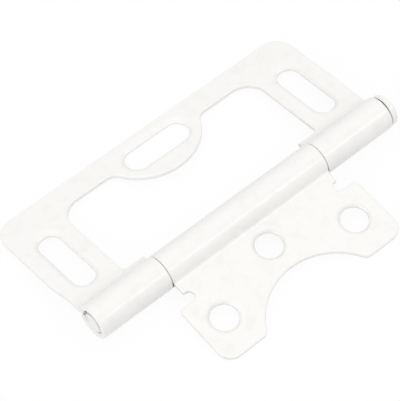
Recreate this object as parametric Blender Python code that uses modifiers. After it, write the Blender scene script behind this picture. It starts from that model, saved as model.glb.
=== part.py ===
"""A flush hinge of rolled sheet steel, lying open on a flat surface.

The large leaf has a cut-out that the small leaf folds into, so the closed hinge is one sheet thick. Each leaf
is a strip whose edge is rolled round the pin: the large leaf has the two outer knuckles, the small leaf the
long middle one. The middle plane of each sheet passes through the pin's axis. Units are metres, with +X along
the pin to its head, the large leaf towards +Y and +Z up. At rest the knuckles and both far edges touch z = 0,
and the origin is under the middle of the hinge's bounding box.
"""

import math

import bmesh
import bpy
from mathutils import Matrix, Vector

# Sheet and pin
THICKNESS = 0.0015
PIN_RADIUS = 0.0032
PIN_CLEARANCE = 0.0003
BEND_RADIUS = 0.0017
SEAM_ANGLE = math.radians(11.0)
EDGE_RADIUS = 0.00025
EDGE_ANGLE = math.radians(30.0)
EDGE_SEGMENTS = 2

# Barrel, along the pin
LENGTH = 0.100
LEFT_STEP = 0.0009
RIGHT_STEP = 0.0002
KNUCKLE_GAP = 0.0004
TAB_LENGTH = 0.0064
TAB_DEPTH = 0.0013
HEAD_GAP = 0.0006
HEAD_RADIUS = 0.0046
HEAD_THICKNESS = 0.0020
HEAD_EDGE = 0.0006
TAIL_RECESS = 0.0009
TAIL_CHAMFER = 0.0005

# Across both leaves, outwards from the bend: middle screw hole, bay, tongue, middle slot
MIDDLE_HOLE_RIM = 0.00195
HOLE_RADIUS = 0.00375
BAY_RIM = 0.00465
TONGUE_CLEARANCE = 0.0042
TONGUE_RIM = 0.0064
MIDDLE_SLOT_WIDTH = 0.0074
MIDDLE_SLOT_FAR_RIM = 0.0036

# Large leaf
OUTER_CORNER = 0.0056
ARM_WIDTH = 0.0168
STEP_START = 0.0042
STEP_LENGTH = 0.0065
STEP_RADIUS = 0.0200
FAR_RIM = 0.0070
OPENING_CORNER = 0.0060
TAB_FILLET = 0.0012
TONGUE_RADIUS = 0.0159
TONGUE_BLEND = 0.0036
SIDE_SLOT_WIDTH = 0.0064
SIDE_SLOT_INSET = 0.0086
SIDE_SLOT_NEAR_RIM = 0.0046
SIDE_SLOT_FAR_RIM = 0.0109
MIDDLE_SLOT_LENGTH = 0.0204
SLOT_SINK = 0.0010

# Small leaf, which nests in the cut-out of the large one
SIDE_CLEARANCE = 0.0030
FAR_CLEARANCE = 0.0042
SHOULDER_CLEARANCE = 0.0044
INNER_CORNER = 0.0040
BAY_EASE = 0.0034
BAY_CORNER = 0.0022
SHOULDER_CORNER = 0.0010
NOTCH_WIDTH = 0.0030
NOTCH_DEPTH = 0.0024
NOTCH_CORNER = 0.0005
HOLE_SINK = 0.0009
HOLE_INSET = 0.0079
HOLE_FAR_RIM = 0.0106

# Straight wall left under each countersink
LAND = 0.0008

# Facets, and how far a cutter stands clear of what it cuts
ARC_STEP = math.radians(9.0)
ROLL_STEPS = 40
BEND_STEPS = 7
PIN_STEPS = 40
MARGIN = 0.002

# Distance under which two points are one
SAME_PLACE = 0.00001

# Enamel: colours and roughness
OUTER_COLOUR = (0.905, 0.897, 0.880)
INNER_COLOUR = (0.902, 0.894, 0.878)
PIN_COLOUR = (0.900, 0.892, 0.872)
LEAF_ROUGHNESS = 0.38
PIN_ROUGHNESS = 0.42

# The rolled edge: middle line of the sheet, and where the flat leaf begins
BORE_RADIUS = PIN_RADIUS + PIN_CLEARANCE
ROLL_RADIUS = BORE_RADIUS + THICKNESS / 2
KNUCKLE_RADIUS = BORE_RADIUS + THICKNESS
BEND_START = math.sqrt((ROLL_RADIUS + BEND_RADIUS) ** 2 - BEND_RADIUS**2)
BEND_TURN = math.acos(BEND_RADIUS / (ROLL_RADIUS + BEND_RADIUS))

# Both leaves, measured from the pin's axis
MIDDLE_HOLE_Y = BEND_START + MIDDLE_HOLE_RIM + HOLE_RADIUS
BAY_TIP = MIDDLE_HOLE_Y + HOLE_RADIUS + BAY_RIM
TONGUE_TIP = BAY_TIP + TONGUE_CLEARANCE
MIDDLE_SLOT_Y = TONGUE_TIP + TONGUE_RIM + MIDDLE_SLOT_WIDTH / 2
OUTER_WIDTH = MIDDLE_SLOT_Y + MIDDLE_SLOT_WIDTH / 2 + MIDDLE_SLOT_FAR_RIM
OPENING_FAR = OUTER_WIDTH - FAR_RIM
INNER_WIDTH = OPENING_FAR - FAR_CLEARANCE

# Large leaf
BARREL_LEFT = LENGTH / 2 - LEFT_STEP
BARREL_RIGHT = LENGTH / 2 - RIGHT_STEP
OPENING_HALF = LENGTH / 2 - ARM_WIDTH
OPENING_NEAR = BEND_START + TAB_DEPTH
OUTER_KNUCKLE_START = OPENING_HALF - TAB_LENGTH
TONGUE_CENTRE = TONGUE_TIP + TONGUE_RADIUS
STEP_NEAR = BEND_START + STEP_START
STEP_FAR = STEP_NEAR + STEP_LENGTH
SIDE_SLOT_X = LENGTH / 2 - SIDE_SLOT_INSET
SIDE_SLOT_NEAR = BEND_START + SIDE_SLOT_NEAR_RIM
SIDE_SLOT_FAR = OUTER_WIDTH - SIDE_SLOT_FAR_RIM

# Small leaf
MIDDLE_KNUCKLE_HALF = OUTER_KNUCKLE_START - KNUCKLE_GAP
INNER_HALF = OPENING_HALF - SIDE_CLEARANCE
BAY_RADIUS = TONGUE_RADIUS + BAY_EASE
BAY_CENTRE = BAY_TIP + BAY_RADIUS
SHOULDER = OPENING_NEAR + SHOULDER_CLEARANCE
HOLE_X = INNER_HALF - HOLE_INSET
HOLE_Y = INNER_WIDTH - HOLE_FAR_RIM

# Pin, along its own axis
HEAD_INNER = BARREL_RIGHT + HEAD_GAP
HEAD_OUTER = HEAD_INNER + HEAD_THICKNESS
TAIL_END = -BARREL_LEFT + TAIL_RECESS


def resting_tilt(width):
    """Angle at which a leaf's rounded far edge and its knuckle both touch the surface."""
    run = width - EDGE_RADIUS
    rise = THICKNESS / 2 - EDGE_RADIUS
    drop = KNUCKLE_RADIUS - EDGE_RADIUS
    return math.asin(drop / math.hypot(run, rise)) - math.atan2(rise, run)


def reach(width, tilt):
    """Level distance from the pin's axis to the far edge of a tilted leaf."""
    run = (width - EDGE_RADIUS) * math.cos(tilt)
    return run + (THICKNESS / 2 - EDGE_RADIUS) * math.sin(tilt) + EDGE_RADIUS


OUTER_TILT = resting_tilt(OUTER_WIDTH)
INNER_TILT = resting_tilt(INNER_WIDTH)
AXIS = Vector(
    (
        (LENGTH / 2 - HEAD_OUTER) / 2,
        (reach(INNER_WIDTH, INNER_TILT) - reach(OUTER_WIDTH, OUTER_TILT)) / 2,
        KNUCKLE_RADIUS,
    )
)


def clear_scene():
    for item in list(bpy.data.objects):
        bpy.data.objects.remove(item, do_unlink=True)


def new_collection(name):
    group = bpy.data.collections.new(name)
    bpy.context.scene.collection.children.link(group)
    return group


def enamel(name, colour, roughness):
    """Satin white coating over the steel."""
    finish = bpy.data.materials.new(name)
    finish.use_nodes = True
    shader = finish.node_tree.nodes["Principled BSDF"]
    shader.inputs["Base Color"].default_value = (*colour, 1.0)
    shader.inputs["Roughness"].default_value = roughness
    shader.inputs["Metallic"].default_value = 0.0
    finish.diffuse_color = (*colour, 1.0)
    return finish


def arc(centre, radius, start, end):
    """Points on a circle from one angle to another, both ends included."""
    steps = max(2, math.ceil(abs(end - start) / ARC_STEP))
    angles = [start + (end - start) * step / steps for step in range(steps + 1)]
    return [Vector((centre[0] + radius * math.cos(a), centre[1] + radius * math.sin(a))) for a in angles]


def fillet(before, corner, after, radius):
    """Arc that rounds the corner between two straight stretches."""
    arrive = (before - corner).normalized()
    leave = (after - corner).normalized()
    half = arrive.angle(leave) / 2
    centre = corner + (arrive + leave).normalized() * radius / math.sin(half)
    spoke = corner + arrive * radius / math.tan(half) - centre
    turn = math.pi - 2 * half
    if arrive.cross(leave) > 0:
        turn = -turn
    steps = max(1, math.ceil(abs(turn) / ARC_STEP))
    return [centre + Matrix.Rotation(turn * step / steps, 2) @ spoke for step in range(steps + 1)]


def rounded(corners):
    """Outline through corners given as x, y and a rounding radius, zero for a sharp corner."""
    places = [Vector(corner[:2]) for corner in corners]
    points = [places[0]]
    for index in range(1, len(corners) - 1):
        radius = corners[index][2]
        if radius > 0:
            points += fillet(places[index - 1], places[index], places[index + 1], radius)
        else:
            points.append(places[index])
    return points + [places[-1]]


def round_edge(circle_y, radius, edge, blend):
    """A circle from its lowest point, and the fillet that carries it onto a straight edge above."""
    drop = circle_y - edge + blend
    centre = Vector((math.sqrt((radius + blend) ** 2 - drop**2), edge - blend))
    angle = math.atan2(-drop, centre.x)
    circle = arc((0.0, circle_y), radius, -math.pi / 2, angle)
    corner = arc(centre, blend, angle + math.pi, math.pi / 2)
    return circle + corner[1:]


def mirrored(right, left):
    """Closed outline from its right half and the half that is turned over to the left."""
    return right + [Vector((-point.x, point.y)) for point in reversed(left)][1:-1]


def outer_half(barrel_end):
    """Half of the large leaf's outline, from the tongue's tip round to the middle of the far edge."""
    below = -KNUCKLE_RADIUS - MARGIN
    tongue = round_edge(TONGUE_CENTRE, TONGUE_RADIUS, OPENING_FAR, TONGUE_BLEND)
    arm = rounded(
        [
            (*tongue[-1], 0),
            (OPENING_HALF, OPENING_FAR, OPENING_CORNER),
            (OPENING_HALF, OPENING_NEAR, TAB_FILLET),
            (OUTER_KNUCKLE_START, OPENING_NEAR, 0),
            (OUTER_KNUCKLE_START, below, 0),
            (barrel_end, below, 0),
            (barrel_end, STEP_NEAR, STEP_RADIUS),
            (LENGTH / 2, STEP_FAR, STEP_RADIUS),
            (LENGTH / 2, OUTER_WIDTH, OUTER_CORNER),
            (0.0, OUTER_WIDTH, 0),
        ]
    )
    return tongue + arm[1:]


def outer_outline():
    return mirrored(outer_half(BARREL_RIGHT), outer_half(BARREL_LEFT))


def inner_half():
    """Half of the small leaf's outline, from the top of its bay round to the middle of the barrel side."""
    below = -KNUCKLE_RADIUS - MARGIN
    bay = round_edge(BAY_CENTRE, BAY_RADIUS, INNER_WIDTH, BAY_CORNER)
    corner = min(INNER_CORNER, INNER_HALF - bay[-1].x)
    side = rounded(
        [
            (*bay[-1], 0),
            (INNER_HALF, INNER_WIDTH, corner),
            (INNER_HALF, SHOULDER, SHOULDER_CORNER),
            (MIDDLE_KNUCKLE_HALF, SHOULDER, 0),
        ]
    )
    notch_end = MIDDLE_KNUCKLE_HALF - NOTCH_DEPTH + NOTCH_WIDTH / 2
    middle = SHOULDER - NOTCH_WIDTH / 2
    notch = arc((notch_end, middle), NOTCH_WIDTH / 2, math.pi / 2, 3 * math.pi / 2)
    knuckle = rounded(
        [
            (*notch[-1], 0),
            (MIDDLE_KNUCKLE_HALF, SHOULDER - NOTCH_WIDTH, NOTCH_CORNER),
            (MIDDLE_KNUCKLE_HALF, below, 0),
            (0.0, below, 0),
        ]
    )
    return bay + side[1:-1] + notch + knuckle[1:]


def inner_outline():
    return mirrored(inner_half(), inner_half())


def slot(centre, length, width, along_x, grow):
    """Slot with round ends, along X or along Y, wider by grow all round."""
    run = (length - width) / 2
    turn = 0.0 if along_x else math.pi / 2
    offset = Vector((run, 0.0)) if along_x else Vector((0.0, run))
    first = arc(Vector(centre) + offset, width / 2 + grow, turn - math.pi / 2, turn + math.pi / 2)
    second = arc(Vector(centre) - offset, width / 2 + grow, turn + math.pi / 2, turn + 3 * math.pi / 2)
    return first + second


def outer_slots(grow):
    middle = (SIDE_SLOT_NEAR + SIDE_SLOT_FAR) / 2
    length = SIDE_SLOT_FAR - SIDE_SLOT_NEAR
    sides = [slot((x, middle), length, SIDE_SLOT_WIDTH, False, grow) for x in (-SIDE_SLOT_X, SIDE_SLOT_X)]
    return sides + [slot((0.0, MIDDLE_SLOT_Y), MIDDLE_SLOT_LENGTH, MIDDLE_SLOT_WIDTH, True, grow)]


def inner_holes(grow):
    places = [(-HOLE_X, HOLE_Y), (0.0, MIDDLE_HOLE_Y), (HOLE_X, HOLE_Y)]
    return [arc(place, HOLE_RADIUS + grow, 0.0, 2 * math.pi)[:-1] for place in places]


def sheet_line(width):
    """Middle line of the sheet: the flat leaf, the bend up from it and the roll round the pin."""
    line = [(width + MARGIN, 0.0)]
    for step in range(BEND_STEPS):
        turn = BEND_TURN * step / BEND_STEPS
        line.append((BEND_START - BEND_RADIUS * math.sin(turn), BEND_RADIUS * (1 - math.cos(turn))))
    first = math.pi / 2 - BEND_TURN
    last = 2 * math.pi - SEAM_ANGLE
    for step in range(ROLL_STEPS + 1):
        angle = first + (last - first) * step / ROLL_STEPS
        line.append((ROLL_RADIUS * math.cos(angle), ROLL_RADIUS * math.sin(angle)))
    return line


def sheet_mesh(name, width, side):
    """Open surface of the sheet's middle, drawn out along the pin; side turns the leaf to +Y or -Y."""
    span = LENGTH / 2 + MARGIN
    shape = bmesh.new()
    row = [shape.verts.new((-span, side * y, z)) for y, z in sheet_line(width)]
    edges = [shape.edges.new(pair) for pair in zip(row, row[1:])]
    drawn = bmesh.ops.extrude_edge_only(shape, edges=edges)["geom"]
    ends = [item for item in drawn if isinstance(item, bmesh.types.BMVert)]
    bmesh.ops.translate(shape, verts=ends, vec=(2 * span, 0.0, 0.0))
    mesh = bpy.data.meshes.new(name)
    shape.to_mesh(mesh)
    shape.free()
    mesh.shade_smooth()
    return mesh


def add_object(name, mesh, group):
    item = bpy.data.objects.new(name, mesh)
    group.objects.link(item)
    return item


def make_cutter(name, mesh, group):
    cutter = add_object(name, mesh, group)
    cutter.hide_render = True
    cutter.display_type = "WIRE"
    return cutter


def blank(name, outline, side, cutters):
    """Upright prism on the leaf's flat outline."""
    flat = bpy.data.curves.new(name, "CURVE")
    flat.dimensions = "2D"
    flat.fill_mode = "BOTH"
    flat.extrude = KNUCKLE_RADIUS + MARGIN
    spline = flat.splines.new("POLY")
    spline.points.add(len(outline) - 1)
    for point, place in zip(spline.points, outline):
        point.co = (place.x, side * place.y, 0.0, 1.0)
    spline.use_cyclic_u = True
    drawn = add_object(name, flat, cutters)
    bpy.context.view_layer.update()
    shape = bmesh.new()
    graph = bpy.context.evaluated_depsgraph_get()
    shape.from_mesh(bpy.data.meshes.new_from_object(drawn.evaluated_get(graph)))
    bmesh.ops.remove_doubles(shape, verts=shape.verts, dist=SAME_PLACE)
    bmesh.ops.recalc_face_normals(shape, faces=shape.faces)
    mesh = bpy.data.meshes.new(name)
    shape.to_mesh(mesh)
    shape.free()
    bpy.data.objects.remove(drawn)
    bpy.data.curves.remove(flat)
    return make_cutter(name, mesh, cutters)


def opening_plugs(name, openings, sink, side, cutters):
    """Plugs for the openings: a straight wall from below, then a countersink out to the upper face."""
    bottom = -THICKNESS / 2 - MARGIN
    neck = LAND - THICKNESS / 2
    top = THICKNESS / 2 + MARGIN
    slope = sink / (THICKNESS - LAND)
    levels = [(0.0, bottom), (0.0, neck), (slope * (top - neck), top)]
    shape = bmesh.new()
    for loops in zip(*[openings(grow) for grow, height in levels]):
        rings = []
        for loop, (grow, height) in zip(loops, levels):
            rings.append([shape.verts.new((place.x, side * place.y, height)) for place in loop])
        for lower, upper in zip(rings, rings[1:]):
            for index in range(len(lower)):
                shape.faces.new((lower[index - 1], lower[index], upper[index], upper[index - 1]))
        shape.faces.new(rings[0])
        shape.faces.new(rings[-1])
    bmesh.ops.recalc_face_normals(shape, faces=shape.faces)
    mesh = bpy.data.meshes.new(name)
    shape.to_mesh(mesh)
    shape.free()
    return make_cutter(name, mesh, cutters)


def add_boolean(item, name, operation, cutter):
    step = item.modifiers.new(name, "BOOLEAN")
    step.operation = operation
    step.solver = "EXACT"
    step.object = cutter


def round_edges(item):
    edge = item.modifiers.new("rounded edges", "BEVEL")
    edge.width = EDGE_RADIUS
    edge.segments = EDGE_SEGMENTS
    edge.limit_method = "ANGLE"
    edge.angle_limit = EDGE_ANGLE


def keep_flats(item):
    """Shading that leaves the large flat faces flat beside their rounded edges."""
    item.modifiers.new("flat faces", "WEIGHTED_NORMAL")


def make_leaf(name, width, side, outline, openings, sink, parts, cutters):
    """Rolled sheet, trimmed to the leaf's blank; the modifiers keep the order of the real work."""
    leaf = add_object(name, sheet_mesh(name, width, side), parts)
    wall = leaf.modifiers.new("sheet", "SOLIDIFY")
    wall.thickness = THICKNESS
    wall.offset = 0.0
    wall.use_even_offset = True
    add_boolean(leaf, "blank", "INTERSECT", blank(name + "_blank", outline, side, cutters))
    plugs = opening_plugs(name + "_openings", openings, sink, side, cutters)
    add_boolean(leaf, "openings", "DIFFERENCE", plugs)
    round_edges(leaf)
    keep_flats(leaf)
    return leaf


def make_outer_leaf(parts, cutters):
    leaf = make_leaf("outer_leaf", OUTER_WIDTH, 1, outer_outline(), outer_slots, SLOT_SINK, parts, cutters)
    leaf.data.materials.append(enamel("outer_leaf_enamel", OUTER_COLOUR, LEAF_ROUGHNESS))
    return leaf


def make_inner_leaf(parts, cutters):
    leaf = make_leaf("inner_leaf", INNER_WIDTH, -1, inner_outline(), inner_holes, HOLE_SINK, parts, cutters)
    leaf.data.materials.append(enamel("inner_leaf_enamel", INNER_COLOUR, LEAF_ROUGHNESS))
    return leaf


def pin_profile():
    """Half section of the pin, from the middle of its head down to its tail, as radius and height."""
    rim = arc((HEAD_RADIUS - HEAD_EDGE, HEAD_OUTER - HEAD_EDGE), HEAD_EDGE, math.pi / 2, 0.0)
    return [
        (0.0, HEAD_OUTER),
        *rim,
        (HEAD_RADIUS, HEAD_INNER),
        (PIN_RADIUS, HEAD_INNER),
        (PIN_RADIUS, TAIL_END + TAIL_CHAMFER),
        (PIN_RADIUS - TAIL_CHAMFER, TAIL_END),
        (0.0, TAIL_END),
    ]


def make_pin(parts):
    shape = bmesh.new()
    row = [shape.verts.new((radius, 0.0, height)) for radius, height in pin_profile()]
    for pair in zip(row, row[1:]):
        shape.edges.new(pair)
    mesh = bpy.data.meshes.new("hinge_pin")
    shape.to_mesh(mesh)
    shape.free()
    pin = add_object("hinge_pin", mesh, parts)
    turned = pin.modifiers.new("turned", "SCREW")
    turned.axis = "Z"
    turned.angle = 2 * math.pi
    turned.steps = PIN_STEPS
    turned.render_steps = PIN_STEPS
    turned.use_merge_vertices = True
    turned.merge_threshold = SAME_PLACE
    turned.use_smooth_shade = True
    keep_flats(pin)
    pin.data.materials.append(enamel("hinge_pin_enamel", PIN_COLOUR, PIN_ROUGHNESS))
    return pin


def main():
    clear_scene()
    parts = new_collection("flush_hinge")
    cutters = new_collection("cutters")
    outer = make_outer_leaf(parts, cutters)
    inner = make_inner_leaf(parts, cutters)
    pin = make_pin(parts)
    for item in (outer, inner, pin):
        item.location = AXIS
    outer.rotation_euler.x = -OUTER_TILT
    inner.rotation_euler.x = INNER_TILT
    pin.rotation_euler.y = math.pi / 2
    for cutter in cutters.objects:
        cutter.parent = outer if cutter.name.startswith(outer.name) else inner
    bpy.context.view_layer.update()


main()
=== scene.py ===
"""Looks of a white enamelled flush hinge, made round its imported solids.

Each leaf is one sheet. It is worked out flat, as places (x, s, n): x along the pin, s across the
sheet from the pin's axis, and n up from the sheet's middle. The edge that passes the start of the
bend is then carried up the bend and round the pin. The leaf is turned to its resting tilt about the
pin, so it lies where its solid lies. Lengths are in metres.
"""

import math

import bmesh
import bpy
import numpy as np
from bpy.props import FloatProperty, FloatVectorProperty, PointerProperty
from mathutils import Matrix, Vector
from mathutils.geometry import delaunay_2d_cdt


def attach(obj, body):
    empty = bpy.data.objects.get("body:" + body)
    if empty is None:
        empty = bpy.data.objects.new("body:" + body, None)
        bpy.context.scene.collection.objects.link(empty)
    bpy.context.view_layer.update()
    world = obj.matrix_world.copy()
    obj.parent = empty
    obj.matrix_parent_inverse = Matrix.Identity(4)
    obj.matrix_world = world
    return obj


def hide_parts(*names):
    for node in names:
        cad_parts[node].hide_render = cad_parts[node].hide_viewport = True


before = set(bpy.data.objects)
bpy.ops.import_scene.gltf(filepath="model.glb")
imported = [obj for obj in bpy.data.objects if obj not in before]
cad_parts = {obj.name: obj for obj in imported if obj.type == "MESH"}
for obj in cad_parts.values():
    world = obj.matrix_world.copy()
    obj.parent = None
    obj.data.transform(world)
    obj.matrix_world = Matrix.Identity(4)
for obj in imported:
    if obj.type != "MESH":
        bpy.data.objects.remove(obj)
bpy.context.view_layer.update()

bl_info = {
    "name": "Flush Hinge Finish",
    "version": (1, 0, 0),
    "blender": (4, 5, 0),
    "location": "View3D > Sidebar > Hinge",
    "description": "Pressed and rolled leaves, turned pin and white enamel for a flush hinge",
    "category": "Object",
}

# Sheet, pin and the rolled edge
THICKNESS = 0.0015
PIN_RADIUS = 0.0032
ROLL_RADIUS = 0.00425
BEND_RADIUS = 0.0017
SEAM_ANGLE = math.radians(11.0)
BEND_START = math.sqrt((ROLL_RADIUS + BEND_RADIUS) ** 2 - BEND_RADIUS**2)
BEND_TURN = math.acos(BEND_RADIUS / (ROLL_RADIUS + BEND_RADIUS))
BEND_ARC = BEND_RADIUS * BEND_TURN
ROLL_FIRST = math.pi / 2 - BEND_TURN
SHEET_END = BEND_START - BEND_ARC - ROLL_RADIUS * (2 * math.pi - SEAM_ANGLE - ROLL_FIRST)

# Where the pin's axis lies, and how each leaf lies about it: its side, and its tilt from level
AXIS = np.array([-0.0012, -0.005632, 0.005])
OUTER_LIE = (1.0, math.radians(-5.9316))
INNER_LIE = (-1.0, math.radians(-8.1672))

# Large leaf
HALF_LENGTH = 0.050
BARREL_LEFT = 0.0491
BARREL_RIGHT = 0.0498
OUTER_WIDTH = 0.0414
OUTER_CORNER = 0.0056
STEP_NEAR = 0.0099
STEP_FAR = 0.0164
STEP_RADIUS = 0.0200
OPENING_HALF = 0.0332
OPENING_NEAR = 0.0070
OPENING_FAR = 0.0344
OPENING_CORNER = 0.0060
TAB_FILLET = 0.0012
OUTER_KNUCKLE_START = 0.0267
TONGUE_RADIUS = 0.0159
TONGUE_CENTRE = 0.0399
TONGUE_BLEND = 0.0036
SIDE_SLOT_X = 0.0414
SIDE_SLOT_NEAR = 0.0103
SIDE_SLOT_FAR = 0.0305
SIDE_SLOT_WIDTH = 0.0064
MIDDLE_SLOT_Y = 0.0341
MIDDLE_SLOT_LENGTH = 0.0204
MIDDLE_SLOT_WIDTH = 0.0074
SLOT_SINK = 0.0010

# Middle knuckle: half its length at the foot, how much further each end lies on top, and the length
# of sheet over which it gets there
MIDDLE_FOOT_HALF = 0.0263
KNUCKLE_SPREAD = 0.00028
SPREAD_LENGTH = 0.0035

# Small leaf
INNER_HALF = 0.0302
INNER_WIDTH = 0.0302
INNER_CORNER = 0.0040
BAY_RADIUS = 0.0193
BAY_CENTRE = 0.0391
BAY_CORNER = 0.0022
SHOULDER = 0.0114
SHOULDER_CORNER = 0.0010
NOTCH_WIDTH = 0.0030
NOTCH_DEPTH = 0.0022
NOTCH_CORNER = 0.0005
HOLE_RADIUS = 0.00375
HOLE_SINK = 0.0009
HOLE_X = 0.0223
HOLE_Y = 0.0196
MIDDLE_HOLE_Y = 0.0114

# Straight wall left under each countersink, and the small radii that pressing and enamel leave
LAND = 0.0006
DISH_RADIUS = 0.0015
NECK_RADIUS = 0.00025
RIM_RADIUS = 0.0003

# Pin: its head, with a low crown that starts at a share of the radius; its tail, and how far the
# tail's rounded chamfer reaches along the pin and inwards, in chamfers; its drop in the bores
HEAD_INNER = 0.0502
HEAD_OUTER = 0.0524
HEAD_RADIUS = 0.0046
HEAD_CROWN = 0.0002
CROWN_START = 0.55
TAIL_END = -0.0489
TAIL_CHAMFER = 0.0005
CHAMFER_LENGTH = 1.5
CHAMFER_DEPTH = 1.1
PIN_DROP = 0.00025

# Painted shade in the open end, on the rim of the pin's tail, between knuckles and under the head:
# its share on the upper side, its share on the lower side, and the angle by which these sides are
# turned about the pin
OPEN_SHADE = (0.0, 0.0, 0.0)
TAIL_SHADE = (0.4, 0.05, 0.0)
GAP_SHADE = (0.0, 1.0, 0.0)
HEAD_SHADE = (0.7, 0.1, math.radians(60.0))

# Heights on a unit circle between which the upper side's share gives way to the lower side's, and
# the part of the sheet's thickness over which the painted shade grows round an edge
SHADE_HIGH = 0.4
SHADE_LOW = -0.3
SHADE_DEPTH = 0.25

# Spacing of points: round outlines, edge profiles, bend and roll, and round the pin
OUTLINE_STEP = math.radians(3.0)
PROFILE_STEP = math.radians(18.0)
BEND_STEP = math.radians(4.5)
PIN_STEPS = 96
PIN_ANGLES = np.linspace(0.0, 2 * math.pi, PIN_STEPS, endpoint=False)

# Points closer than the first are one point; the others ask the triangle filler for the inside
# without its holes, and set its slack
SAME_POINT = 1e-7
INSIDE_WITHOUT_HOLES = 2
FILL_SLACK = 1e-9

# Name of the points' value that says how much painted shade they get
SHADE_ATTRIBUTE = "painted_shade_share"

# Noise in the enamel: scale, detail and roughness
CLOUDS = (55.0, 3.0, 0.5)
FLOW = (320.0, 2.0, 0.5)
PEEL = (1100.0, 2.0, 0.45)
SPECKS = (4200.0, 1.0, 0.5)

# Where each piece lies in that noise, so that no two pieces look alike
NOISE_PLACES = {
    "large_leaf_enamel": (0.0, 0.0, 0.0),
    "small_leaf_enamel": (0.13, 0.07, 0.0),
    "pin_enamel": (0.0, 0.19, 0.0),
}

# Enamel's warmer tone as a share of its colour, and what makes it show: clouds, flow, specks and a
# constant part
WARM_SHARE = (0.994, 0.992, 0.986)
CLOUD_TONE = 0.5
FLOW_TONE = 0.3
SPECK_TONE = 0.4
MIDDLE_TONE = 0.4

# How quickly the painted shade darkens, to a grey painted shade at half and a near-black painted
# shade at full, and how far the flow moves those borders
SHADE_RATE = 2.0
BORDER_WAVER = 0.3

# Changes of the roughness, the last one downwards, and heights of the waves as shares of the orange
# peel's depth
CLOUD_GLOSS = 0.06
PEEL_GLOSS = 0.04
SHADE_GLOSS = 0.2
HIGHLIGHT_GLOSS = 0.15
PEEL_HEIGHT = 0.7
FLOW_HEIGHT = 0.6
SPECK_HEIGHT = 0.12

# Clear layer on the enamel
ENAMEL_IOR = 1.5
COAT_WEIGHT = 0.6
COAT_ROUGHNESS = 0.07

# Painted highlight with smoother gloss along the small leaf's bend: its place in the leaf's own
# plane, its reach, and the factor that keeps only a place's section across the pin
HIGHLIGHT_PLACE = (0.0, 0.0050, 0.0010)
HIGHLIGHT_REACH = 0.0010
ACROSS_PIN = (0.0, 1.0, 1.0)

# Stage: the floor's grey, its glow and the glow's share in what the camera sees; the heights
# between which the sky brightens; and place and size of the lamps
WHITE = (1.0, 1.0, 1.0, 1.0)
FLOOR_GREY = (0.72, 0.72, 0.72, 1.0)
FLOOR_GLOW = 1.02
GLOW_SHARE = 0.92
SKY_LOW = 0.05
SKY_HIGH = 0.75
LONG_LAMP = ((0.35, -0.66, 0.66), (1.2, 0.16))
SIDE_LAMP = ((-0.9, -0.15, 0.3), (0.8, 0.5))

# Camera, at the photograph's viewing angle: its turn in degrees and its lens in millimetres
CAMERA_PLACE = (-0.178013, -0.220795, 0.399261)
CAMERA_TURN = (35.67305, 2.36857, -40.50346)
CAMERA_LENS = 167.893
CAMERA_SHIFT = (0.00613, 0.00029)
CAMERA_NEAR = 0.01


class HingeShape(bpy.types.PropertyGroup):
    """Small radii of the hinge's edges."""

    edge_radius: FloatProperty(
        name="Edge radius",
        description="Radius that pressing and enamel leave along the leaves' edges",
        default=0.00045,
        unit="LENGTH",
    )
    head_edge: FloatProperty(
        name="Head edge",
        description="Radius round the outer edge of the pin's head",
        default=0.0007,
        unit="LENGTH",
    )


class HingeFinish(bpy.types.PropertyGroup):
    """Colours and gloss of the hinge."""

    enamel_colour: FloatVectorProperty(
        name="Enamel",
        description="Warm white enamel of the leaves and the pin",
        subtype="COLOR",
        default=(0.935, 0.926, 0.908),
    )
    # Painted highlight: a whiter colour along the small leaf's bend
    highlight_colour: FloatVectorProperty(
        name="Bend highlight",
        description="Whiter colour painted along the small leaf's bend as a highlight",
        default=(0.99, 0.985, 0.97),
        subtype="COLOR",
    )
    # Painted shade at half strength: grey in the gaps, inside the rolled edge and round the pin
    half_shade_colour: FloatVectorProperty(
        name="Half painted shade",
        description="Grey painted shade in gaps and inside the rolled edge",
        subtype="COLOR",
        default=(0.45, 0.44, 0.41),
    )
    # Painted shade at full strength: near black deepest in the gaps and under the pin's head
    full_shade_colour: FloatVectorProperty(
        name="Full painted shade",
        description="Near-black painted shade deepest in gaps and crevices",
        subtype="COLOR",
        default=(0.09, 0.085, 0.08),
    )
    enamel_roughness: FloatProperty(
        name="Enamel roughness",
        description="Roughness of the satin enamel",
        default=0.30,
        subtype="FACTOR",
    )
    peel_depth: FloatProperty(
        name="Orange peel",
        description="Depth of the enamel's fine waviness",
        default=0.000008,
        unit="LENGTH",
    )


class HingeStage(bpy.types.PropertyGroup):
    """Floor, lamps and background."""

    floor_size: FloatProperty(
        name="Floor size",
        description="Side of the white floor",
        default=3.0,
        unit="LENGTH",
    )
    sky_strength: FloatProperty(
        name="Sky strength",
        description="Soft light from overhead",
        default=1.04,
    )
    horizon_strength: FloatProperty(
        name="Horizon strength",
        description="Soft light from the sides, lower than from overhead so the edges stand out",
        default=0.33,
    )
    lamp_power: FloatProperty(
        name="Lamp power",
        description="Power of the long soft lamp above the small leaf's side",
        default=1.2,
        unit="POWER",
    )
    side_power: FloatProperty(
        name="Side lamp power",
        description="Power of the soft lamp that lights the open end of the barrel",
        default=1.7,
        unit="POWER",
    )


def arc(centre, radius, start, end, step=OUTLINE_STEP):
    """Points at equal angles on a circle between two angles: centre + radius * (cosine, sine)."""
    angle = np.linspace(start, end, max(2, math.ceil(abs(end - start) / step)) + 1)
    return np.asarray(centre) + radius * np.column_stack((np.cos(angle), np.sin(angle)))


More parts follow.
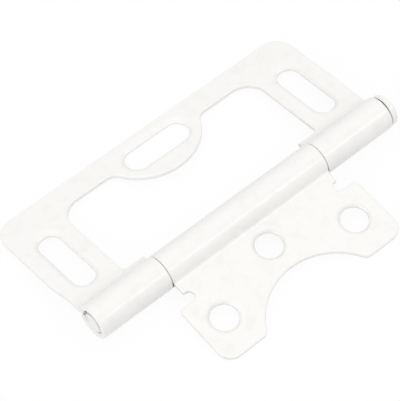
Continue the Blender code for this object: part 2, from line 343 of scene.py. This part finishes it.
def fillet(before, corner, after, radius, step):
    """Arc that touches both sides of a corner. Its centre lies radius / sin(half the corner) along
    the bisector."""
    arrive = (before - corner) / np.linalg.norm(before - corner)
    leave = (after - corner) / np.linalg.norm(after - corner)
    half = math.acos(np.clip(arrive @ leave, -1.0, 1.0)) / 2
    bisector = (arrive + leave) / np.linalg.norm(arrive + leave)
    centre = corner + bisector * radius / math.sin(half)
    spoke = corner + arrive * radius / math.tan(half) - centre
    first = math.atan2(spoke[1], spoke[0])
    turn = math.pi - 2 * half
    if arrive[0] * leave[1] - arrive[1] * leave[0] > 0:
        turn = -turn
    return arc(centre, radius, first, first + turn, step)


def rounded(corners, step=OUTLINE_STEP):
    """Line through corners, each two coordinates and a rounding radius, zero for a sharp one."""
    places = np.array([corner[:2] for corner in corners], float)
    stretches = [places[:1]]
    for index in range(1, len(corners) - 1):
        radius = corners[index][2]
        if radius > 0:
            stretches.append(fillet(*places[index - 1 : index + 2], radius, step))
        else:
            stretches.append(places[index : index + 1])
    stretches.append(places[-1:])
    return np.concatenate(stretches)


def round_edge(circle_y, radius, edge, blend):
    """A circle from its lowest point, and the arc that touches it and a straight edge above."""
    drop = circle_y - edge + blend
    centre = np.array([math.sqrt((radius + blend) ** 2 - drop**2), edge - blend])
    angle = math.atan2(-drop, centre[0])
    circle = arc((0.0, circle_y), radius, -math.pi / 2, angle)
    return np.concatenate((circle, arc(centre, blend, angle + math.pi, math.pi / 2)[1:]))


def turned_over(line):
    """The same line seen in a mirror across x = 0, and run the other way."""
    return line[::-1] * (-1.0, 1.0)


def outer_rim():
    """Outside of the large leaf, from the right knuckle round the far edge to the left knuckle."""
    halves = []
    for barrel_end in (BARREL_RIGHT, BARREL_LEFT):
        corners = [
            (barrel_end, BEND_START, 0),
            (barrel_end, STEP_NEAR, STEP_RADIUS),
            (HALF_LENGTH, STEP_FAR, STEP_RADIUS),
            (HALF_LENGTH, OUTER_WIDTH, OUTER_CORNER),
            (0.0, OUTER_WIDTH, 0),
        ]
        halves.append(rounded(corners))
    return np.concatenate((halves[0], turned_over(halves[1])[1:]))


def cut_out_rim():
    """Cut-out of the large leaf, from the left knuckle round the tongue to the right knuckle."""
    tongue = round_edge(TONGUE_CENTRE, TONGUE_RADIUS, OPENING_FAR, TONGUE_BLEND)
    corners = [
        (*tongue[-1], 0),
        (OPENING_HALF, OPENING_FAR, OPENING_CORNER),
        (OPENING_HALF, OPENING_NEAR, TAB_FILLET),
        (OUTER_KNUCKLE_START, OPENING_NEAR, 0),
        (OUTER_KNUCKLE_START, BEND_START, 0),
    ]
    half = np.concatenate((tongue, rounded(corners)[1:]))
    return np.concatenate((turned_over(half), half[1:]))


def inner_rim():
    """Outside of the small leaf, from its knuckle's right end round the bay to its left end."""
    bay = round_edge(BAY_CENTRE, BAY_RADIUS, INNER_WIDTH, BAY_CORNER)
    notch_end = MIDDLE_FOOT_HALF - NOTCH_DEPTH + NOTCH_WIDTH / 2
    notch_middle = SHOULDER - NOTCH_WIDTH / 2
    notch = arc((notch_end, notch_middle), NOTCH_WIDTH / 2, 3 * math.pi / 2, math.pi / 2)
    knuckle = [
        (MIDDLE_FOOT_HALF, BEND_START, 0),
        (MIDDLE_FOOT_HALF, SHOULDER - NOTCH_WIDTH, NOTCH_CORNER),
        (*notch[0], 0),
    ]
    side = [
        (*notch[-1], 0),
        (INNER_HALF, SHOULDER, SHOULDER_CORNER),
        (INNER_HALF, INNER_WIDTH, INNER_CORNER),
        (*bay[-1], 0),
    ]
    half = np.concatenate((rounded(knuckle), notch[1:], rounded(side)[1:], bay[::-1][1:]))
    return np.concatenate((half, turned_over(half)[1:]))


def slot(centre, run, radius):
    """Slot with round ends. Their centres lie a run away from its middle, on either side."""
    centre = np.asarray(centre)
    run = np.asarray(run)
    turn = math.atan2(run[1], run[0])
    first = arc(centre + run, radius, turn - math.pi / 2, turn + math.pi / 2)
    second = arc(centre - run, radius, turn + math.pi / 2, turn + 3 * math.pi / 2)
    return np.concatenate((first, second))


def outer_slots(grow):
    """Outlines of the three slots of the large leaf, wider by grow all round."""
    middle = (SIDE_SLOT_NEAR + SIDE_SLOT_FAR) / 2
    run = (SIDE_SLOT_FAR - SIDE_SLOT_NEAR - SIDE_SLOT_WIDTH) / 2
    radius = SIDE_SLOT_WIDTH / 2 + grow
    sides = [slot((x, middle), (0.0, run), radius) for x in (-SIDE_SLOT_X, SIDE_SLOT_X)]
    run = (MIDDLE_SLOT_LENGTH - MIDDLE_SLOT_WIDTH) / 2
    return sides + [slot((0.0, MIDDLE_SLOT_Y), (run, 0.0), MIDDLE_SLOT_WIDTH / 2 + grow)]


def inner_holes(grow):
    """Outlines of the three screw holes of the small leaf, wider by grow all round."""
    places = [(-HOLE_X, HOLE_Y), (0.0, MIDDLE_HOLE_Y), (HOLE_X, HOLE_Y)]
    return [arc(place, HOLE_RADIUS + grow, 0.0, 2 * math.pi)[:-1] for place in places]


def edge_profile(radius):
    """Rounded edge of the sheet, from its upper face to its lower face, as inset and height."""
    top = THICKNESS / 2
    corners = [(THICKNESS, top, 0), (0.0, top, radius), (0.0, -top, radius), (THICKNESS, -top, 0)]
    return rounded(corners, PROFILE_STEP)[1:-1]


def opening_profile(sink):
    """Wall of an opening from the upper face, as outset and height: soft rim, countersink, neck,
    straight land."""
    top = THICKNESS / 2
    corners = [
        (sink + THICKNESS, top, 0),
        (sink, top, DISH_RADIUS),
        (0.0, LAND - top, NECK_RADIUS),
        (0.0, -top, NECK_RADIUS),
        (THICKNESS, -top, 0),
    ]
    return rounded(corners, PROFILE_STEP)[1:-1]


def outward(line):
    """Offset directions at the points of a line whose sheet lies on its left: the outward normals
    of both sides, summed and divided by one plus their dot product, so that an offset line keeps
    its distance round corners."""
    along = np.diff(line, axis=0)
    along /= np.linalg.norm(along, axis=1)[:, None]
    normal = np.column_stack((along[:, 1], -along[:, 0]))
    before = np.concatenate((normal[:1], normal))
    after = np.concatenate((normal, normal[-1:]))
    return (before + after) / (1 + np.sum(before * after, axis=1))[:, None]


def grid_faces(rows, columns, wrap=False):
    """Corners of each cell of a grid of points, numbered row by row. Wrap joins the last column to
    the first."""
    row = columns * np.arange(rows - 1)[:, None]
    column = np.arange(columns if wrap else columns - 1)[None, :]
    following = (column + 1) % columns
    below = row + columns
    corners = (row + column, row + following, below + following, below + column)
    return np.stack(corners, axis=2).reshape(-1, 4)


class Skin:
    """Points and faces of one closed surface, gathered in pieces that meet at the same points."""

    def __init__(self):
        self.points = []
        self.painted_shade = []
        self.faces = []
        self.count = 0

    def add(self, points, faces, painted_shade=None):
        """Points as rows of three numbers, faces that number them from zero, and how much painted
        shade each point gets, zero where nothing is given."""
        self.points.append(points)
        self.painted_shade.append(np.zeros(len(points)) if painted_shade is None else painted_shade)
        self.faces += (np.asarray(faces) + self.count).tolist()
        self.count += len(points)


def carry_edge(skin, line, profile):
    """The edge profile carried along a line, its points at line - inset * outward direction."""
    side = outward(line)
    flat = line[:, None, :] - profile[None, :, :1] * side[:, None, :]
    height = np.broadcast_to(profile[None, :, 1:], (*flat.shape[:2], 1))
    grid = np.concatenate((flat, height), axis=2)
    skin.add(grid.reshape(-1, 3), grid_faces(*grid.shape[:2]))
    return grid[:, 0, :2], grid[:, -1, :2]


def sink_opening(skin, rings, profile):
    """The wall of an opening: one outline for each step of the profile, at the profile's height."""
    flat = np.stack(rings)
    height = np.broadcast_to(profile[:, None, 1:], (*flat.shape[:2], 1))
    grid = np.concatenate((flat, height), axis=2)
    skin.add(grid.reshape(-1, 3), grid_faces(*grid.shape[:2], wrap=True))
    return grid[0, :, :2], grid[-1, :, :2]


def fill_face(skin, loops, height):
    """A flat face of the sheet at one height, filled with triangles between its outline and its
    openings."""
    points = np.concatenate(loops)
    starts = np.cumsum([0] + [len(loop) for loop in loops])
    faces = [list(range(first, last)) for first, last in zip(starts[:-1], starts[1:])]
    corners = [Vector(place) for place in points]
    placed, _, triangles, *_ = delaunay_2d_cdt(corners, [], faces, INSIDE_WITHOUT_HOLES, FILL_SLACK)
    flat = np.array([tuple(place) for place in placed])
    skin.add(np.column_stack((flat, np.full(len(flat), height))), triangles)


def roll_edge(skin, start, end, spread, profile, shades):
    """The strip of sheet between two ends along the pin, from the start of the bend to the seam. It
    is the rounded cross section at every step of the way, then rings that shrink like a ball's, so
    the seam's edge is round too. Both ends move outwards by the spread on the way up, since the
    blank is a little narrower at the knuckle's foot. The painted shades are those of the first and
    of the last end."""
    radius = profile[0, 0]
    bend = np.linspace(0.0, BEND_ARC, math.ceil(BEND_TURN / BEND_STEP) + 1)
    last = BEND_START - SHEET_END - radius
    roll = np.linspace(BEND_ARC, last, math.ceil((last - BEND_ARC) / ROLL_RADIUS / BEND_STEP) + 1)
    tips = np.linspace(0.0, math.pi / 2, math.ceil(math.pi / 2 / PROFILE_STEP) + 1)[1:]
    passed = np.concatenate((bend, roll[1:], last + radius * np.sin(tips)))
    shrink = np.concatenate((np.zeros(len(bend) + len(roll) - 1), 1 - np.cos(tips)))[:, None]
    core = np.clip(profile[:, 1], radius - THICKNESS / 2, THICKNESS / 2 - radius)
    height = profile[None, :, 1] + shrink * (core - profile[:, 1])[None, :]
    risen = np.clip(passed / SPREAD_LENGTH, 0.0, 1.0)[:, None]
    inset = profile[None, :, 0] + shrink * (radius - profile[None, :, 0])
    inset = inset - spread * (1.0 - (1.0 - risen) ** 2)
    ring_x = np.concatenate((start + inset, (end - inset)[:, ::-1]), axis=1)
    ring_n = np.concatenate((height, height[:, ::-1]), axis=1)
    ring_s = np.broadcast_to(BEND_START - passed[:, None], ring_x.shape)
    grid = np.stack((ring_x, ring_s, ring_n), axis=2)
    rows, columns = grid.shape[:2]
    painted_shade = roll_painted_shade(grid, (start + end) / 2, shades)
    skin.add(grid.reshape(-1, 3), grid_faces(rows, columns, wrap=True), painted_shade.ravel())
    skin.add(grid[-1], [list(range(columns))], painted_shade[-1])


def along_sheet(places):
    """Carries flat places up the bend and round the pin. Past the start of the bend the middle line
    is a circle of the bend's radius, then one of the roll's radius; a point stands off it by its
    height along the normal."""
    x, s, n = places.T
    passed = BEND_START - s
    bend = np.clip(passed, 0.0, BEND_ARC) / BEND_RADIUS
    bend_y = BEND_START - (BEND_RADIUS - n) * np.sin(bend)
    bend_z = BEND_RADIUS - (BEND_RADIUS - n) * np.cos(bend)
    angle = ROLL_FIRST + (passed - BEND_ARC) / ROLL_RADIUS
    roll_y = (ROLL_RADIUS + n) * np.cos(angle)
    roll_z = (ROLL_RADIUS + n) * np.sin(angle)
    flat = passed <= 0
    bent = passed <= BEND_ARC
    y = np.where(flat, s, np.where(bent, bend_y, roll_y))
    z = np.where(flat, n, np.where(bent, bend_z, roll_z))
    return np.column_stack((x, y, z))


def set_down(places, side, tilt):
    """Turns a leaf's places to its side of the pin, tilts them down about the pin and moves them
    into place."""
    x, y, z = places.T
    level = y * math.cos(tilt) - z * math.sin(tilt)
    rise = y * math.sin(tilt) + z * math.cos(tilt)
    return np.column_stack((x, side * level, rise)) + AXIS


def shade_round_pin(shade_sides, angle):
    """Share of painted shade that a pair of shade sides gives at an angle round the pin, measured
    from the leaf's own side."""
    upper, lower, turn = shade_sides
    sunk = (SHADE_HIGH - np.sin(angle + turn)) / (SHADE_HIGH - SHADE_LOW)
    return upper + (lower - upper) * np.clip(sunk, 0.0, 1.0)


def roll_painted_shade(grid, middle, shades):
    """Share of painted shade at each point of a rolled strip. The outer face gets none. The end
    faces and the inner face get what the nearer end's shade sides say, growing round the edge and
    along the bend."""
    x, s, n = grid.transpose(2, 0, 1)
    passed = BEND_START - s
    angle = ROLL_FIRST + (passed - BEND_ARC) / ROLL_RADIUS
    share = np.where(x < middle, shade_round_pin(shades[0], angle), shade_round_pin(shades[1], angle))
    depth = (THICKNESS / 2 - n) / THICKNESS
    edge_growth = np.clip(depth / SHADE_DEPTH, 0.0, 1.0) ** 2
    return share * edge_growth * np.clip(passed / BEND_ARC, 0.0, 1.0)


def build_mesh(name, points, faces, painted_shade):
    """A closed mesh from points and faces. Points that coincide are merged, and its faces are
    turned outwards."""
    mesh = bpy.data.meshes.new(name)
    mesh.from_pydata(points.tolist(), [], faces)
    mesh.attributes.new(SHADE_ATTRIBUTE, "FLOAT", "POINT").data.foreach_set("value", painted_shade)
    shape = bmesh.new()
    shape.from_mesh(mesh)
    bmesh.ops.remove_doubles(shape, verts=shape.verts, dist=SAME_POINT)
    bmesh.ops.dissolve_degenerate(shape, edges=shape.edges, dist=SAME_POINT)
    bmesh.ops.recalc_face_normals(shape, faces=shape.faces)
    open_edges = sum(not edge.is_manifold for edge in shape.edges)
    shape.to_mesh(mesh)
    shape.free()
    if open_edges:
        raise RuntimeError(f"{name} has {open_edges} open edges")
    mesh.shade_smooth()
    return mesh


def add_piece(name, mesh, body, node, finish):
    """Puts a finished mesh into the scene in place of its solid, riding on the same body."""
    piece = bpy.data.objects.new(name, mesh)
    bpy.context.scene.collection.objects.link(piece)
    piece.data.materials.append(finish)
    piece.modifiers.new("flat faces stay flat", "WEIGHTED_NORMAL")
    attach(piece, body)
    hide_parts(node)


class Signal:
    """One output of a node. Python's operators on it add Math nodes."""

    def __init__(self, surface, port):
        self.surface = surface
        self.port = port

    def maths(self, operation, first, second):
        """A Math node on two signals or numbers."""
        inputs = {"Value": first, "Value_001": second}
        return self.surface.add("ShaderNodeMath", {"operation": operation}, inputs)["Value"]

    def __add__(self, other):
        return self.maths("ADD", self, other)

    __radd__ = __add__

    def __sub__(self, other):
        return self.maths("SUBTRACT", self, other)

    def __rsub__(self, other):
        return self.maths("SUBTRACT", other, self)

    def __mul__(self, other):
        return self.maths("MULTIPLY", self, other)


class Surface:
    """The node tree of a material or a world, with one method that adds any node."""

    def __init__(self, owner):
        owner.use_nodes = True
        self.tree = owner.node_tree
        self.tree.nodes.clear()

    def add(self, kind, settings, inputs):
        """Adds a node, sets its settings, then its sockets by identifier. Returns its outputs as
        signals."""
        node = self.tree.nodes.new(kind)
        for key, value in settings.items():
            setattr(node, key, value)
        ports = {port.identifier: port for port in node.inputs}
        for key, value in inputs.items():
            if isinstance(value, Signal):
                self.tree.links.new(value.port, ports[key])
            else:
                ports[key].default_value = value
        return {port.identifier: Signal(self, port) for port in node.outputs}

    def noise(self, place, scale, detail, roughness):
        """Noise over a place, from about -0.5 to 0.5."""
        inputs = {"Vector": place, "Scale": scale, "Detail": detail, "Roughness": roughness}
        return self.add("ShaderNodeTexNoise", {}, inputs)["Fac"] - 0.5

    def vector(self, operation, first, second):
        """Vector maths on two places."""
        inputs = {"Vector": first, "Vector_001": second}
        return self.add("ShaderNodeVectorMath", {"operation": operation}, inputs)

    def share(self, value):
        """A value kept between 0 and 1."""
        return self.add("ShaderNodeClamp", {}, {"Value": value})["Result"]

    def mix(self, factor, first, second):
        """Two colours mixed by a factor."""
        settings = {"data_type": "RGBA", "clamp_factor": True}
        inputs = {"Factor_Float": factor, "A_Color": first, "B_Color": second}
        return self.add("ShaderNodeMix", settings, inputs)["Result_Color"]


def enamel(name, bend_highlight=None):
    """Satin white enamel over steel, with faint clouding, fine orange peel and gloss that varies a
    little. Painted shade darkens it where the points' shade share says, inside the rolled edge,
    between knuckles and round the pin: to grey, then to near black, and it turns rougher there. A
    bend highlight is a place in the section across the pin where a painted highlight, a whiter
    colour with smoother gloss, lies all along the leaf: fully within half its reach of that place,
    and less and less up to its whole reach."""
    colours = bpy.context.scene.hinge_finish
    material = bpy.data.materials.new(name)
    surface = Surface(material)
    place = surface.add("ShaderNodeTexCoord", {}, {})["Object"]
    highlight_and_gloss = 0.0
    if bend_highlight is not None:
        section = surface.vector("MULTIPLY", place, ACROSS_PIN)["Vector"]
        apart = surface.vector("DISTANCE", section, bend_highlight)["Value"]
        highlight_and_gloss = surface.share(2.0 - apart * (2.0 / HIGHLIGHT_REACH))
    moved = {"Vector": place, "Location": NOISE_PLACES[name]}
    place = surface.add("ShaderNodeMapping", {"vector_type": "POINT"}, moved)["Vector"]
    clouds = surface.noise(place, *CLOUDS)
    flow = surface.noise(place, *FLOW)
    peel = surface.noise(place, *PEEL)
    specks = surface.noise(place, *SPECKS)
    full = (*colours.enamel_colour, 1.0)
    warm = (*(channel * share for channel, share in zip(full, WARM_SHARE)), 1.0)
    warmth = clouds * CLOUD_TONE + flow * FLOW_TONE + specks * SPECK_TONE + MIDDLE_TONE
    tone = surface.mix(warmth, full, warm)
    # Painted highlight: whiter colour along the small leaf's bend
    tone = surface.mix(highlight_and_gloss, tone, (*colours.highlight_colour, 1.0))
    # Painted shade: the shade share darkens the colour to grey, then to near black, and adds
    # roughness
    shade_mask = surface.add("ShaderNodeAttribute", {"attribute_name": SHADE_ATTRIBUTE}, {})["Fac"]
    shade_level = shade_mask * SHADE_RATE + flow * BORDER_WAVER
    grey_shaded = surface.mix(shade_level, tone, (*colours.half_shade_colour, 1.0))
    colour = surface.mix(shade_level - 1.0, grey_shaded, (*colours.full_shade_colour, 1.0))
    rough = colours.enamel_roughness + clouds * CLOUD_GLOSS + peel * PEEL_GLOSS
    rough = rough + shade_mask * SHADE_GLOSS - highlight_and_gloss * HIGHLIGHT_GLOSS
    height = peel * PEEL_HEIGHT + flow * FLOW_HEIGHT + specks * SPECK_HEIGHT
    waves = {"Height": height, "Distance": colours.peel_depth, "Strength": 1.0}
    coat = {
        "Base Color": colour,
        "Roughness": rough,
        "Normal": surface.add("ShaderNodeBump", {}, waves)["Normal"],
        "IOR": ENAMEL_IOR,
        "Coat Weight": COAT_WEIGHT,
        "Coat Roughness": COAT_ROUGHNESS,
        "Coat IOR": ENAMEL_IOR,
    }
    shader = surface.add("ShaderNodeBsdfPrincipled", {}, coat)["BSDF"]
    surface.add("ShaderNodeOutputMaterial", {}, {"Surface": shader})
    return material


def sheet_leaf(name, rims, openings, sink, strips, lie):
    """Closed mesh of one leaf: edges carried along its rims, walls of its openings, two flat faces
    and the strips that roll round the pin. A strip is given as its two ends, their spread and the
    painted shade of each end."""
    edge = edge_profile(bpy.context.scene.hinge_shape.edge_radius)
    wall = opening_profile(sink)
    skin = Skin()
    upper = []
    lower = []
    for rim in rims:
        top, bottom = carry_edge(skin, rim, edge)
        upper.append(top)
        lower.append(bottom)
    upper = [np.concatenate(upper)]
    lower = [np.concatenate(lower)]
    for rings in zip(*[openings(grow) for grow in wall[:, 0]]):
        top, bottom = sink_opening(skin, rings, wall)
        upper.append(top)
        lower.append(bottom)
    fill_face(skin, upper, THICKNESS / 2)
    fill_face(skin, lower, -THICKNESS / 2)
    for start, end, spread, shades in strips:
        roll_edge(skin, start, end, spread, edge, shades)
    flat = np.concatenate(skin.points)
    placed = set_down(along_sheet(flat), *lie)
    return build_mesh(name, placed, skin.faces, np.concatenate(skin.painted_shade))


def turn_profile(profile):
    """A half section turned about the pin's axis: each point is radius * (cosine, sine) at its
    height along the axis. The two points on the axis close the ends. The pin lies low in its bores,
    as its weight leaves it."""
    radius, height = profile.T
    y = np.outer(radius, np.cos(PIN_ANGLES))
    z = np.outer(radius, np.sin(PIN_ANGLES))
    grid = np.stack((np.broadcast_to(height[:, None], y.shape), y, z), axis=2)
    points = grid.reshape(-1, 3) + AXIS - (0.0, 0.0, PIN_DROP)
    return points, grid_faces(*y.shape, wrap=True).tolist()


def pin_painted_shade(profile):
    """Share of painted shade at each point of the pin. The outside of its head gets none. Under the
    head, along the knuckles and on the tail's chamfer it gets what the shade sides of those places
    say."""
    radius, height = profile.T
    neck = HEAD_INNER - THICKNESS
    tail = TAIL_END + TAIL_CHAMFER * CHAMFER_LENGTH
    on_chamfer = (height <= tail) & (radius > PIN_RADIUS - TAIL_CHAMFER * CHAMFER_DEPTH)
    under_head = (height > neck) & (height < HEAD_INNER + RIM_RADIUS / 2) & (radius < HEAD_RADIUS)
    in_knuckles = (height > tail) & (height <= neck)
    shades = ((under_head, HEAD_SHADE), (in_knuckles, GAP_SHADE), (on_chamfer, TAIL_SHADE))
    return sum(np.outer(there, shade_round_pin(shade_sides, PIN_ANGLES)) for there, shade_sides in shades)


class HINGE_OT_large_leaf(bpy.types.Operator):
    """Large leaf: three slots, a cut-out with a tongue, and the two outer knuckles"""

    bl_idname = "hinge.large_leaf"
    bl_label = "Large Leaf"

    def execute(self, context):
        left = (-BARREL_LEFT, -OUTER_KNUCKLE_START, 0.0, (OPEN_SHADE, GAP_SHADE))
        right = (OUTER_KNUCKLE_START, BARREL_RIGHT, 0.0, (GAP_SHADE, HEAD_SHADE))
        rims = [outer_rim(), cut_out_rim()]
        strips = [left, right]
        mesh = sheet_leaf("large_leaf_sheet", rims, outer_slots, SLOT_SINK, strips, OUTER_LIE)
        finish = enamel("large_leaf_enamel")
        add_piece("large_leaf_sheet", mesh, "large_leaf", "outer_leaf", finish)
        return {"FINISHED"}


class HINGE_OT_small_leaf(bpy.types.Operator):
    """Small leaf: three countersunk holes, a bay for the tongue, notches and middle knuckle"""

    bl_idname = "hinge.small_leaf"
    bl_label = "Small Leaf"

    def execute(self, context):
        rims = [inner_rim()]
        strips = [(-MIDDLE_FOOT_HALF, MIDDLE_FOOT_HALF, KNUCKLE_SPREAD, (GAP_SHADE, GAP_SHADE))]
        mesh = sheet_leaf("small_leaf_sheet", rims, inner_holes, HOLE_SINK, strips, INNER_LIE)
        # Place of the painted highlight along the bend, in the pin's cross section
        bend_highlight = set_down(np.array([HIGHLIGHT_PLACE]), *INNER_LIE)[0] * ACROSS_PIN
        finish = enamel("small_leaf_enamel", bend_highlight)
        add_piece("small_leaf_sheet", mesh, "small_leaf", "inner_leaf", finish)
        return {"FINISHED"}


class HINGE_OT_pin(bpy.types.Operator):
    """Pin with a crowned head at one end and a chamfered tail at the other"""

    bl_idname = "hinge.pin"
    bl_label = "Pin"

    def execute(self, context):
        edge = context.scene.hinge_shape.head_edge
        corners = [
            (0.0, HEAD_OUTER, 0),
            (HEAD_RADIUS * CROWN_START, HEAD_OUTER, HEAD_RADIUS),
            (HEAD_RADIUS, HEAD_OUTER - HEAD_CROWN, edge),
            (HEAD_RADIUS, HEAD_INNER, RIM_RADIUS),
            (PIN_RADIUS, HEAD_INNER, 0),
            (PIN_RADIUS, HEAD_INNER - THICKNESS, 0),
            (PIN_RADIUS, HEAD_INNER - 2 * THICKNESS, 0),
            (PIN_RADIUS, TAIL_END + 2 * THICKNESS, 0),
            (PIN_RADIUS, TAIL_END + TAIL_CHAMFER, TAIL_CHAMFER),
            (PIN_RADIUS - TAIL_CHAMFER, TAIL_END, TAIL_CHAMFER / 2),
            (0.0, TAIL_END, 0),
        ]
        profile = rounded(corners, PROFILE_STEP / 2)
        points, faces = turn_profile(profile)
        mesh = build_mesh("pin_turned", points, faces, pin_painted_shade(profile).ravel())
        finish = enamel("pin_enamel")
        add_piece("pin_turned", mesh, "large_leaf", "hinge_pin", finish)
        return {"FINISHED"}


class HINGE_OT_stage(bpy.types.Operator):
    """White floor, even sky, two soft lamps and the camera"""

    bl_idname = "hinge.stage"
    bl_label = "Stage"

    def execute(self, context):
        settings = context.scene.hinge_stage
        self.lay_floor(settings.floor_size / 2)
        self.light_sky(context.scene, settings.sky_strength, settings.horizon_strength)
        self.hang_lamp(context.scene, "long_lamp", *LONG_LAMP, settings.lamp_power)
        self.hang_lamp(context.scene, "side_lamp", *SIDE_LAMP, settings.side_power)
        self.place_camera(context.scene)
        context.scene.view_settings.view_transform = "Standard"
        return {"FINISHED"}

    def lay_floor(self, half):
        """White floor. The camera and reflections see it nearly as a lit backdrop, with a little of
        the hinge's shadow left in."""
        corners = [(-half, -half, 0.0), (half, -half, 0.0), (half, half, 0.0), (-half, half, 0.0)]
        mesh = bpy.data.meshes.new("floor")
        mesh.from_pydata(corners, [], [(0, 1, 2, 3)])
        floor = bpy.data.objects.new("floor", mesh)
        bpy.context.scene.collection.objects.link(floor)
        material = bpy.data.materials.new("floor_white")
        surface = Surface(material)
        seen = self.seen_directly(surface)
        matt = surface.add("ShaderNodeBsdfDiffuse", {}, {"Color": FLOOR_GREY})["BSDF"]
        glow = {"Color": WHITE, "Strength": FLOOR_GLOW}
        lit = surface.add("ShaderNodeEmission", {}, glow)["Emission"]
        inputs = {"Fac": seen * GLOW_SHARE, "Shader": matt, "Shader_001": lit}
        mixed = surface.add("ShaderNodeMixShader", {}, inputs)["Shader"]
        surface.add("ShaderNodeOutputMaterial", {}, {"Surface": mixed})
        mesh.materials.append(material)

    def light_sky(self, scene, overhead, horizon):
        """White light that falls off towards the horizon. The camera and reflections see it as
        plain white."""
        scene.world = bpy.data.worlds.new("studio")
        surface = Surface(scene.world)
        way = surface.add("ShaderNodeTexCoord", {}, {})["Generated"]
        height = surface.add("ShaderNodeSeparateXYZ", {}, {"Vector": way})["Z"]
        ramp = {
            "Value": height,
            "From Min": SKY_LOW,
            "From Max": SKY_HIGH,
            "To Min": horizon,
            "To Max": overhead,
        }
        settings = {"interpolation_type": "SMOOTHSTEP"}
        light = surface.add("ShaderNodeMapRange", settings, ramp)["Result"]
        settings = {"data_type": "FLOAT", "clamp_factor": True}
        inputs = {"Factor_Float": self.seen_directly(surface), "A_Float": light, "B_Float": 1.0}
        level = surface.add("ShaderNodeMix", settings, inputs)["Result_Float"]
        inputs = {"Color": WHITE, "Strength": level}
        sky = surface.add("ShaderNodeBackground", {}, inputs)["Background"]
        surface.add("ShaderNodeOutputWorld", {}, {"Surface": sky})

    def seen_directly(self, surface):
        """One for rays from the camera, off glossy surfaces and through clear ones, zero for the
        rest."""
        rays = surface.add("ShaderNodeLightPath", {}, {})
        return rays["Is Camera Ray"] + rays["Is Glossy Ray"] + rays["Is Transmission Ray"]

    def hang_lamp(self, scene, name, place, size, power):
        """A soft rectangular lamp, turned to the middle of the hinge."""
        lamp = bpy.data.lights.new(name, "AREA")
        lamp.shape = "RECTANGLE"
        lamp.size, lamp.size_y = size
        lamp.energy = power
        hung = bpy.data.objects.new(name, lamp)
        scene.collection.objects.link(hung)
        hung.location = place
        hung.rotation_euler = (-hung.location).to_track_quat("-Z", "Y").to_euler()

    def place_camera(self, scene):
        """The camera, where it stood for the photograph."""
        view = bpy.data.cameras.new("photo_view")
        view.lens = CAMERA_LENS
        view.shift_x, view.shift_y = CAMERA_SHIFT
        view.clip_start = CAMERA_NEAR
        camera = bpy.data.objects.new("photo_view", view)
        scene.collection.objects.link(camera)
        camera.location = CAMERA_PLACE
        camera.rotation_euler = [math.radians(angle) for angle in CAMERA_TURN]
        scene.camera = camera


class HINGE_PT_build(bpy.types.Panel):
    """Lists the steps that make the hinge"""

    bl_idname = "HINGE_PT_build"
    bl_label = "Flush Hinge"
    bl_space_type = "VIEW_3D"
    bl_region_type = "UI"
    bl_category = "Hinge"

    def draw(self, context):
        scene = context.scene
        for group in (scene.hinge_shape, scene.hinge_finish, scene.hinge_stage):
            for key in group.__annotations__:
                self.layout.prop(group, key)
        for step in OPERATORS:
            self.layout.operator(step.bl_idname)


GROUPS = (HingeShape, HingeFinish, HingeStage)
OPERATORS = (HINGE_OT_large_leaf, HINGE_OT_small_leaf, HINGE_OT_pin, HINGE_OT_stage)


def register():
    """Makes the hinge's settings, steps and panel known."""
    for item in (*GROUPS, *OPERATORS, HINGE_PT_build):
        bpy.utils.register_class(item)
    bpy.types.Scene.hinge_shape = PointerProperty(type=HingeShape)
    bpy.types.Scene.hinge_finish = PointerProperty(type=HingeFinish)
    bpy.types.Scene.hinge_stage = PointerProperty(type=HingeStage)


def unregister():
    """Takes them away again."""
    del bpy.types.Scene.hinge_stage
    del bpy.types.Scene.hinge_finish
    del bpy.types.Scene.hinge_shape
    for item in reversed((*GROUPS, *OPERATORS, HINGE_PT_build)):
        bpy.utils.unregister_class(item)


def main():
    """Makes the hinge's settings, steps and panel known, then builds the hinge and its stage."""
    register()
    bpy.ops.hinge.large_leaf()
    bpy.ops.hinge.small_leaf()
    bpy.ops.hinge.pin()
    bpy.ops.hinge.stage()


if __name__ == "__main__":
    main()
